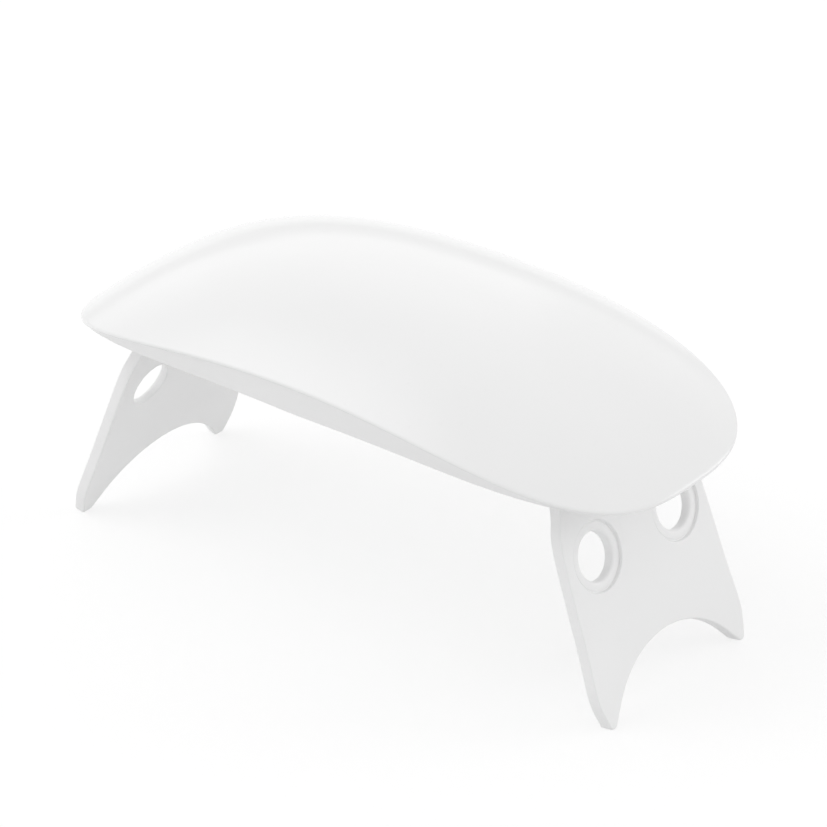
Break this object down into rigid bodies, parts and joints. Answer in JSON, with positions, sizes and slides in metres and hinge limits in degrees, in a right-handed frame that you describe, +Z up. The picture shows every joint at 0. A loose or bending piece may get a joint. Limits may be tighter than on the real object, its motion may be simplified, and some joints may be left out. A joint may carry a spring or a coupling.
{
  "type": "mini nail lamp",
  "caption": "Pocket nail-curing lamp: an arched white body on fold-out legs, with domed lenses in a recess underneath, and an inlet and a push button in the rear flank.",
  "frame": {"origin": "on the table, midway between the four toes, under the middle of the body", "axes": "+X along the body's length, +Y towards the rear flank with the inlet and the button, +Z up"},
  "size_m": [0.136, 0.0676, 0.0658],
  "materials": {
    "shell_plastic": "gloss white",
    "housing_plastic": "satin white",
    "leg_plastic": "satin white",
    "button_plastic": "satin white",
    "pin_steel": "drawn",
    "washer_plastic": "natural",
    "board_laminate": "white solder mask",
    "emitter_resin": "ceramic with a resin drop",
    "lens_clear": "clear polished",
    "chip_plastic": "moulded black",
    "choke_ferrite": "sintered",
    "capacitor_can": "satin",
    "socket_metal": "plated",
    "wire_insulation": "extruded",
    "screw_steel": "plated"
  },
  "bodies": {
    "housing": {"top_shell": "shell_plastic", "lower_housing": "housing_plastic", "hinge_pin_left": "pin_steel", "hinge_pin_right": "pin_steel", "hinge_washers_left": "washer_plastic", "hinge_washers_right": "washer_plastic", "lamp_board_left": "board_laminate", "lamp_board_centre": "board_laminate", "lamp_board_right": "board_laminate", "emitter_1": "emitter_resin", "emitter_2": "emitter_resin", "emitter_3": "emitter_resin", "emitter_4": "emitter_resin", "emitter_5": "emitter_resin", "emitter_6": "emitter_resin", "lens_1": "lens_clear", "lens_2": "lens_clear", "lens_3": "lens_clear", "lens_4": "lens_clear", "lens_5": "lens_clear", "lens_6": "lens_clear", "control_board": "board_laminate", "controller_chip": "chip_plastic", "power_choke": "choke_ferrite", "smoothing_capacitor": "capacitor_can", "usb_socket_shell": "socket_metal", "usb_socket_tongue": "chip_plastic", "tact_switch": "chip_plastic", "link_wires_left": "wire_insulation", "link_wires_right": "wire_insulation", "link_wires_centre": "wire_insulation", "case_screws": "screw_steel", "board_screws": "screw_steel"},
    "leg_left": {"leg_left": "leg_plastic"},
    "leg_right": {"leg_right": "leg_plastic"},
    "button": {"button_cap": "button_plastic", "switch_plunger": "chip_plastic"}
  },
  "joints": [
    {"name": "leg_left_fold", "type": "hinge", "parent": "housing", "child": "leg_left", "pos_m": [-0.05, 0, 0.0466], "axis": [0, -1, 0], "range_deg": [0, 112.2]},
    {"name": "leg_right_fold", "type": "hinge", "parent": "housing", "child": "leg_right", "pos_m": [0.05, 0, 0.0466], "axis": [0, 1, 0], "range_deg": [0, 112.2]},
    {"name": "button_press", "type": "slide", "parent": "housing", "child": "button", "axis": [0, -1, 0], "range_m": [0, 0.0005], "stiffness_N_per_m": 1200, "springref_m": -0.0008}
  ]
}
